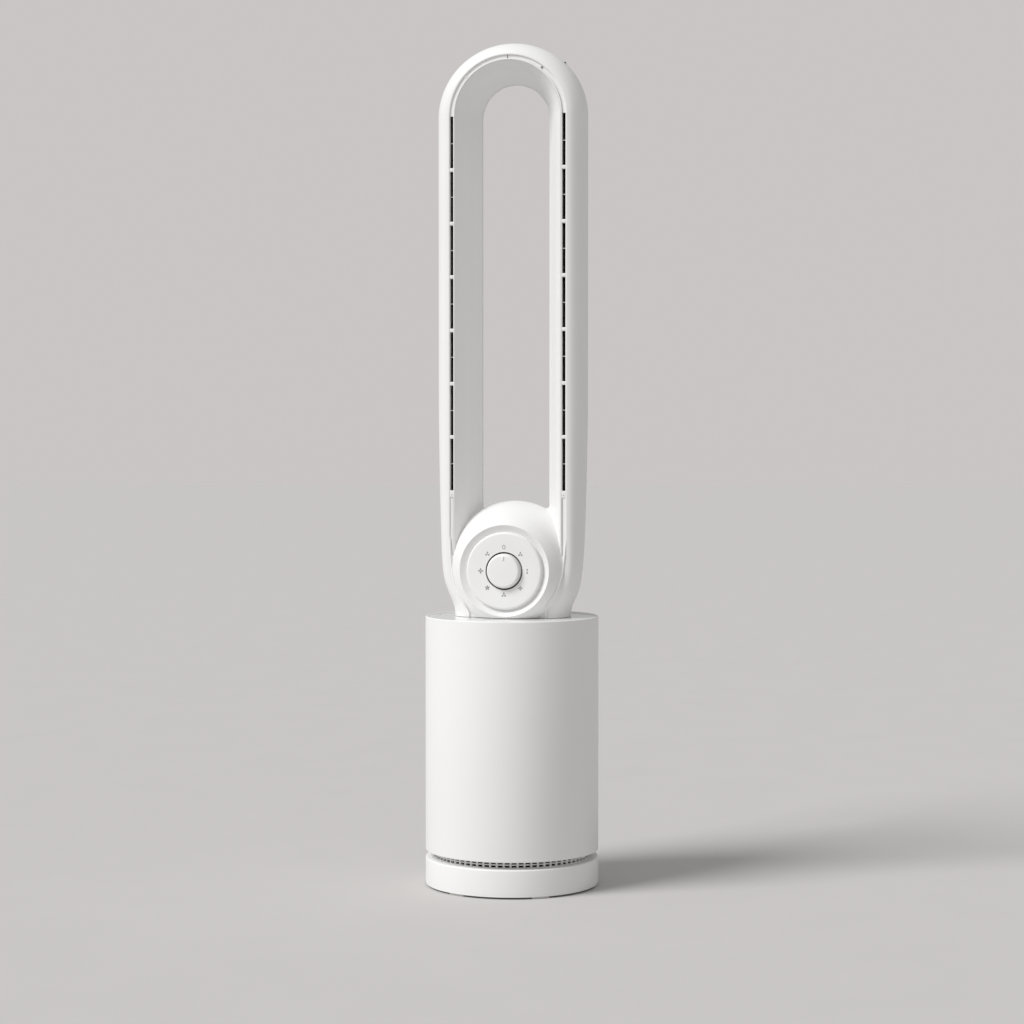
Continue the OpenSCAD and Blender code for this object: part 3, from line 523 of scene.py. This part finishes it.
def make_slot_details():
    """Bridges and ribs across the slot, the strips that close the groove, a near-black sheet that paints the
    shade inside the slot, and dark grey lines that paint the shade in the groove beside the strips, with a
    small dark dot below each slot.
    """
    pitch = (ARC_Z - SLOT_Z0) / SLOT_SEGMENTS
    bridges, ribs, strips, slot_shades, gap_shades_and_dots = [], [], [], [], []
    for side in (1, -1):
        for i in range(1, SLOT_SEGMENTS):
            z = SLOT_Z0 + i * pitch
            bridges.append(side_box(side, (SLOT_IN - 0.3 * MM, FRONT + 0.15 * MM, z - BRIDGE_H / 2),
                                    (SLOT_OUT + 0.3 * MM, FRONT + 6 * MM, z + BRIDGE_H / 2), 0.9 * MM))
        for i in range(SLOT_SEGMENTS):
            z = SLOT_Z0 + (i + 0.5) * pitch
            ribs.append(side_box(side, (SLOT_IN, FRONT + 4.2 * MM, z - RIB_H / 2),
                                 (SLOT_OUT, FRONT + 6 * MM, z + RIB_H / 2), 0.2 * MM))
        bridges.append(side_box(side, (SLOT_IN, FRONT + 0.25 * MM, SLOT_Z0 - 8 * MM),
                                (SLOT_OUT, FRONT + 1.5 * MM, SLOT_Z0), 0.3 * MM))
        # Painted shade: a thin dark box along each strip's inner edge stands for the shadow in the groove;
        # the second box is a small dark dot below the slot.
        gap_shades_and_dots.append(side_box(side, (SLOT_IN, FRONT + 0.75 * MM, STRIP_FOOT),
                             (SLOT_IN + 0.45 * MM, FRONT + 1.3 * MM, SLOT_Z0 - 9 * MM), 0.1 * MM))
        gap_shades_and_dots.append(side_box(side, (SLOT_IN + 1.4 * MM, FRONT + 0.2 * MM, SLOT_Z0 - 5.6 * MM),
                             (SLOT_IN + 2.4 * MM, FRONT + 0.9 * MM, SLOT_Z0 - 4.8 * MM), 0.1 * MM))
        slot_foot = SLOT_Z0 - 3 * MM
        strips.append(tube_of(arm_stations(STRIP_FOOT, slot_foot, 16, side), strip_section(1.1 * MM)))
        strips.append(tube_of(arm_stations(NECK_Z, STRIP_FOOT, 20, side),
                              strip_section(-0.02 * MM, 0.9 * MM)))
        # Painted shade: a near-black strip 6 mm behind the front stands for the shade inside the slot.
        slot_shades.append(tube_of(arm_stations(slot_foot, ARC_Z, 4, side), strip_section(6 * MM, -0.02 * MM)))
    strips.append(tube_of(top_stations(), strip_section(1.6 * MM)))
    piece("bridges", *joined(bridges), "head", "white_shell", replaces=["slot_bridges"])
    piece("mid_ribs", *joined(ribs), "head", "white_shell", replaces=["slot_ribs"])
    piece("closing_strip", *joined(strips), "head", "white_shell", replaces=["groove_strip"])
    piece("slot_shade_sheet", *joined(slot_shades), "head", "white_shell", material="painted_shade_black")
    piece("strip_gap_shades_and_dots", *joined(gap_shades_and_dots), "head", "white_shell", material="gap_shade_and_dot_grey")


def arc_box(angle, radius, v, half, soften):
    """A box with rounded edges on the top arc, at an angle in degrees, with its half sizes in millimetres."""
    centre = arc_point(radius, v, math.radians(angle))
    reach = Vector(half) * MM
    return box_mesh(centre - reach, centre + reach, soften)


def make_arc_marks():
    """Small moulded marks on the arc: three on the closing strip and two on the outer side."""
    strip_v = FRONT + 1.2 * MM
    dots = [
        arc_box(52.4, SLOT_MIDDLE, strip_v, (0.9, 0.5, 0.9), 0.2 * MM),
        arc_box(90, SLOT_MIDDLE, FRONT + 1.3 * MM, (0.25, 0.5, 1.7), 0.2 * MM),
        arc_box(44.5, LOOP_W - 1.1 * MM, WIDEST_V - 3.2 * MM, (0.9, 0.7, 0.9), 0.2 * MM),
    ]
    bumps = [
        arc_box(137.4, SLOT_MIDDLE, strip_v, (1, 0.7, 1), 0.4 * MM),
        arc_box(44.5, LOOP_W - 2.2 * MM, WIDEST_V, (1.8, 2.6, 1.8), 0.9 * MM),
    ]
    piece("arc_dots", *joined(dots), "head", "white_shell", material="gap_shade_and_dot_grey")
    piece("arc_bumps", *joined(bumps), "head", "white_shell")


# ---- hub and dial ----
def hub_slope(t0, t1, count):
    """Points on the hub's front slope, from the bezel's rim (t = 0) back to the saddle's ridge (t = 1)."""
    corners = ((RIM_R, RIM_V), (63 * MM, -30 * MM), (76 * MM, -12 * MM), (SADDLE_R, RIDGE_V))
    return [bezier_at(corners, t0 + (t1 - t0) * i / count) for i in range(count + 1)]


SLOPE_R, SLOPE_V = np.transpose(hub_slope(0, 1, 60))


def on_hub(profile, segments):
    """A closed outline of (radius, depth) turned about the hub's axis."""
    return revolve(profile, segments, "y", (0, 0, HUB_Z))


def make_hub():
    slope = hub_slope(SPLIT_T, 1, 40)
    rear_v = BACK - 0.5 * MM
    rear_r = SADDLE_R - 18 * MM
    behind = bezier((SADDLE_R, RIDGE_V), (SADDLE_R, 27 * MM), (SADDLE_R - 6 * MM, rear_v),
                    (rear_r, rear_v), 18)
    saddle = [(0, slope[0][1])] + slope[:-1] + behind + [(rear_r, rear_v), (0, rear_v)]
    hub = piece("hub_body", *on_hub(saddle, 192), "head", "white_shell", replaces=["neck_yoke"])
    cut_below(hub, NECK_Z)
    wide, flat = 68.0 * MM, 46 * MM
    neck_front, neck_rear, neck_height = FRONT + 0.1 * MM, BACK - 0.3 * MM, 17 * MM
    half = bezier((flat, neck_front), (flat + 13 * MM, neck_front), (wide, WIDEST_V - 16 * MM),
                  (wide, WIDEST_V), 16)
    half += bezier((wide, WIDEST_V), (wide, WIDEST_V + 18 * MM), (0.72 * wide, neck_rear),
                   (0.45 * wide, neck_rear), 16)
    outline = half + [(-u, v) for u, v in half[::-1]]
    verts, faces = tube_of(arm_stations(NECK_Z, NECK_Z + neck_height, 1, 1), lambda z: outline)
    piece("neck_body", verts, faces, "head", "white_shell")


def make_fillets(steps=26, arc_steps=9):
    """Concave fillets where the saddle runs into the inner walls of the arms."""
    wall_v = [FRONT, CREASE_V, BACK - 16 * MM]
    wall_u = [SLOT_IN - LIP_IN, CREASE_U, THROAT]
    parts = []
    for side in (1, -1):
        verts = []
        for i in range(steps + 1):
            v = FRONT + 1 * MM + (THROAT_V - FRONT) * i / steps
            fade = min(1.0, 0.1 + (steps - i) / 2.5)
            radius = (0.25 + 4.5 * (i / steps) ** 1.6 * fade) * MM
            wall = float(np.interp(v, wall_v, wall_u))
            hub = float(np.interp(min(v, RIDGE_V), SLOPE_V, SLOPE_R))
            cx = wall - radius
            cz = math.sqrt((hub + radius) ** 2 - cx**2)
            end = math.atan2(-cz, -cx)
            for k in range(arc_steps + 1):
                a = end * k / arc_steps
                u, z = cx + radius * math.cos(a), HUB_Z + cz + radius * math.sin(a)
                verts.append(Vector((side * u, v, z)))
            verts.append(Vector((side * (wall + 0.8 * MM), v, HUB_Z + cz - radius * 0.9 - 1.2 * MM)))
        parts.append((verts, loft_faces(steps + 1, arc_steps + 2)))
    piece("hub_fillets", *joined(parts), "head", "white_shell")


def make_arm_edges(steps=60, around=14):
    """The raised edge that runs from each slot's outer lip down round the hub to the plate."""
    heights = [NECK_Z, 318 * MM, 325 * MM, 333 * MM, 345 * MM, 360 * MM, 380 * MM, 402 * MM]
    sides = [45.2 * MM, 45.2 * MM, 47.6 * MM, 53.4 * MM, 60.6 * MM, 65 * MM, 67.2 * MM, 68.6 * MM]
    half_width, rise, fade_steps, softenings = 1.3 * MM, 1.9 * MM, 14, 6
    levels = [heights[0] + (heights[-1] - heights[0]) * i / steps for i in range(steps + 1)]
    path = [(float(np.interp(z, heights, sides)), z) for z in levels]
    for _ in range(softenings):
        inside = [[(path[i - 1][k] + 2 * path[i][k] + path[i + 1][k]) / 4 for k in (0, 1)]
                  for i in range(1, steps)]
        path = [path[0]] + inside + [path[-1]]
    parts = []
    for side in (1, -1):
        verts = []
        for i, (u, z) in enumerate(path):
            below, above = path[max(0, i - 1)], path[min(steps, i + 1)]
            along_u, along_z = above[0] - below[0], above[1] - below[1]
            length = math.hypot(along_u, along_z)
            across_u, across_z = along_z / length, -along_u / length
            slope_v = float(np.interp(math.hypot(u, z - HUB_Z), SLOPE_R, SLOPE_V))
            v = min(FRONT + 0.1 * MM, slope_v)
            fade = min(1.0, (steps - i) / fade_steps)
            for k in range(around):
                t = 2 * math.pi * k / around
                w = half_width * math.cos(t)
                proud = rise * fade * math.sin(t)
                verts.append(Vector((side * (u + across_u * w), v - proud, z + across_z * w)))
        parts.append((verts, loft_faces(steps + 1, around)))
    piece("arm_edges", *joined(parts), "head", "white_shell")


def make_dial():
    floor_v, floor_t = -34.6 * MM, 2.4 * MM
    floor_in, floor_out = 41 * MM, 45.2 * MM
    slope = hub_slope(0, SPLIT_T, 14)
    rim = rounded([(floor_in, floor_v), (floor_out, floor_v), (RIM_R - 0.4 * MM, RIM_V + 0.1 * MM)],
                  (0, 0.5 * MM, 0), steps=5, closed=False)
    under = [(slope[-1][0] - 3 * MM, slope[-1][1]), (floor_out + 2 * MM, floor_v + floor_t),
             (floor_in, floor_v + floor_t)]
    bezel = piece("bezel", *on_hub(rim + slope + under, 192), "head", "dial_plastic",
                  replaces=["dial_bezel"])
    cut_below(bezel, NECK_Z)
    well_r = KNOB_R + 1.7 * MM
    face = rounded([(well_r, FACE_V), (44.3 * MM, FACE_V), (44.4 * MM, floor_v), (well_r, floor_v)],
                   (0.5 * MM, 3.6 * MM, 0, 0), steps=9)
    piece("face_plate", *on_hub(face, 160), "head", "dial_plastic", replaces=["dial_face"])
    well_in, well_out = 5 * MM, well_r + 1 * MM
    well_front, well_back = -33 * MM, -32 * MM
    well = [(well_in, well_front), (well_out, well_front), (well_out, well_back), (well_in, well_back)]
    # Painted shade: the well's floor is near-black so that the gap round the knob shows dark.
    piece("well_floor", *on_hub(well, 96), "head", "dial_plastic", material="well_painted_shade")
    knob = rounded([(0, knob_low.y), (KNOB_R - 1.5 * MM, knob_low.y + 0.25 * MM),
                    (KNOB_R, FACE_V + 0.5 * MM), (KNOB_R, knob_high.y), (0, knob_high.y)],
                   (0, 2.2 * MM, 2 * MM, 0.8 * MM, 0), steps=8)
    piece("knob_body", *on_hub(knob, 160), "knob", "dial_plastic", replaces=["knob_cap"])
    pointer_low, pointer_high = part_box("knob_pointer")
    piece("pointer", *box_mesh(pointer_low, pointer_high, 0.25 * MM), "knob", "pointer_plastic",
          replaces=["knob_pointer"])


def flat_glyph(outlines, angle, thick=0.25 * MM):
    """Outlines in the dial's plane, in metres, slightly proud at their place on the circle of marks."""
    x0, z0 = MARK_R * math.cos(angle), HUB_Z + MARK_R * math.sin(angle)
    y1 = FACE_V + 0.05 * MM
    parts = []
    for outline in outlines:
        count = len(outline)
        verts = [Vector((x0 + x, y, z0 + z)) for y in (y1 - thick, y1) for x, z in outline]
        faces = [list(range(count)), [count + i for i in range(count)][::-1]]
        faces += [[i, count + i, count + (i + 1) % count, (i + 1) % count] for i in range(count)]
        parts.append((verts, faces))
    return parts


def ring_outline(r_out, r_in, squash, steps=28):
    """A ring between two circles, as quads, made narrower from side to side by squash."""
    def at(radius, step):
        angle = 2 * math.pi * step / steps
        return radius * math.cos(angle) * squash, radius * math.sin(angle)

    return [[at(r_out, i), at(r_out, i + 1), at(r_in, i + 1), at(r_in, i)] for i in range(steps)]


def petal_outlines(count, size, steps=12):
    """A plain rosette of petals, used as a generic air mark."""
    out = []
    for i in range(count):
        a = math.pi / 2 + 2 * math.pi * i / count
        petal = []
        for k in range(steps):
            t = 2 * math.pi * k / steps
            r, w = size * (0.58 + 0.42 * math.cos(t)), size * 0.27 * math.sin(t)
            petal.append((r * math.cos(a) - w * math.sin(a), r * math.sin(a) + w * math.cos(a)))
        out.append(petal)
    return out


def make_marks():
    """Eight marks round the dial: an oval ring at the top, then rosettes of a number of petals and a size."""
    rosettes = ((3, 2.9), (2, 2.9), (4, 2.6), (3, 3.0), (5, 2.8), (4, 3.1), (3, 2.9))
    parts = flat_glyph(ring_outline(2.5 * MM, 1.85 * MM, 0.7), math.pi / 2)
    for i, (petals, size) in enumerate(rosettes, 1):
        parts += flat_glyph(petal_outlines(petals, size * MM), math.pi / 2 - 2 * math.pi * i / 8)
    piece("marks", *joined(parts), "head", "mark_ink", replaces=["dial_marks"])


# ---- casing and base ----
def make_casing():
    """The casing, its tray and top plate, and a near-black sleeve behind the intake holes that paints the
    shade inside the base.
    """
    inside = CASING_R - CASING_T
    z0, z1 = casing_low.z, casing_high.z
    shell = rounded([(CASING_R, z0), (CASING_R, z1), (inside, z1), (inside, z0 + FLANGE_T),
                     (FLANGE_IN, z0 + FLANGE_T), (FLANGE_IN, z0)],
                    (1.1 * MM, 1.25 * MM, 1.25 * MM, 0, 0, 0), steps=6)
    piece("casing_shell", *revolve(shell, 256), "base", "white_shell", replaces=["casing"])
    z0, z1 = tray_low.z, tray_high.z
    tray = rounded([(0, z0), (CASING_R, z0), (CASING_R, z1), (FLANGE_IN, z1), (FLANGE_IN, z1 - FLANGE_T),
                    (inside, z1 - FLANGE_T), (inside, z0 + FLANGE_T), (0, z0 + FLANGE_T)],
                   (0, 0.8 * MM, 1.7 * MM, 0, 0, 0, 0, 0), steps=7)
    piece("tray_shell", *revolve(tray, 256), "base", "white_shell", replaces=["base_tray"])
    z0, z1 = plate_low.z, plate_high.z
    outer, hole = CASING_R - 2.4 * MM, WASHER_R - 7.5 * MM
    plate = rounded([(hole, z0), (outer, z0), (outer, z1), (hole, z1)], (0, 0, 0.6 * MM, 0.3 * MM), steps=4)
    piece("plate_disc", *revolve(plate, 256), "base", "gloss_plate", replaces=["top_plate"])
    # Painted shade: a near-black sleeve just inside the grille so the intake holes show the dark of the
    # base's inside.
    r0, r1 = grille_high.x - 4.4 * MM, grille_high.x - 3.9 * MM
    z0, z1 = grille_low.z + 0.5 * MM, grille_high.z - 0.5 * MM
    piece("grille_shade_sleeve", *revolve([(r1, z0), (r1, z1), (r0, z1), (r0, z0)], 128), "base", "grille_plastic",
          material="painted_shade_black")


# ---- stage and light ----
def make_stage():
    mesh = bpy.data.meshes.new("floor")
    size = 30
    corners = [(-size, -size, 0), (size, -size, 0), (size, size, 0), (-size, size, 0)]
    mesh.from_pydata(corners, [], [(0, 1, 2, 3)])
    floor = bpy.data.objects.new("floor", mesh)
    bpy.context.collection.objects.link(floor)
    mesh.materials.append(finish_material("floor_grey", FLOOR_COLOUR, rough=0.8, grain=60.0, bump=0.02,
                                          specular=0.1))
    world = bpy.data.worlds.new("studio")
    world.use_nodes = True
    tree = world.node_tree
    link = tree.links.new
    tree.nodes.clear()
    out = tree.nodes.new("ShaderNodeOutputWorld")
    mix = tree.nodes.new("ShaderNodeMixShader")
    seen = tree.nodes.new("ShaderNodeLightPath")
    lit = tree.nodes.new("ShaderNodeBackground")
    shown = tree.nodes.new("ShaderNodeBackground")
    lit.inputs["Color"].default_value = (1.0, 0.995, 0.985, 1)
    lit.inputs["Strength"].default_value = 0.44
    shown.inputs["Color"].default_value = WALL_COLOUR
    shown.inputs["Strength"].default_value = 1.0
    link(seen.outputs["Is Camera Ray"], mix.inputs["Fac"])
    link(lit.outputs["Background"], mix.inputs[1])
    link(shown.outputs["Background"], mix.inputs[2])
    link(mix.outputs["Shader"], out.inputs["Surface"])
    bpy.context.scene.world = world
    bpy.context.scene.view_settings.view_transform = "Standard"


def sun_light(name, azimuth, elevation, strength, spread):
    """Parallel soft light from a direction: azimuth 0 is in front of the fan, positive towards +X."""
    data = bpy.data.lights.new(name, "SUN")
    data.energy = strength
    data.angle = math.radians(spread)
    lamp = bpy.data.objects.new(name, data)
    bpy.context.collection.objects.link(lamp)
    az, el = math.radians(azimuth), math.radians(elevation)
    away = Vector((math.sin(az) * math.cos(el), -math.cos(az) * math.cos(el), math.sin(el)))
    lamp.rotation_euler = away.to_track_quat("Z", "Y").to_euler()


def make_lights():
    sun_light("key", -47, 45, 2.62, 26)
    sun_light("fill", -20, 20, 0.06, 90)


make_loop()
make_slot_details()
make_arc_marks()
make_hub()
make_fillets()
make_arm_edges()
make_dial()
make_marks()
make_casing()
make_stage()
make_lights()
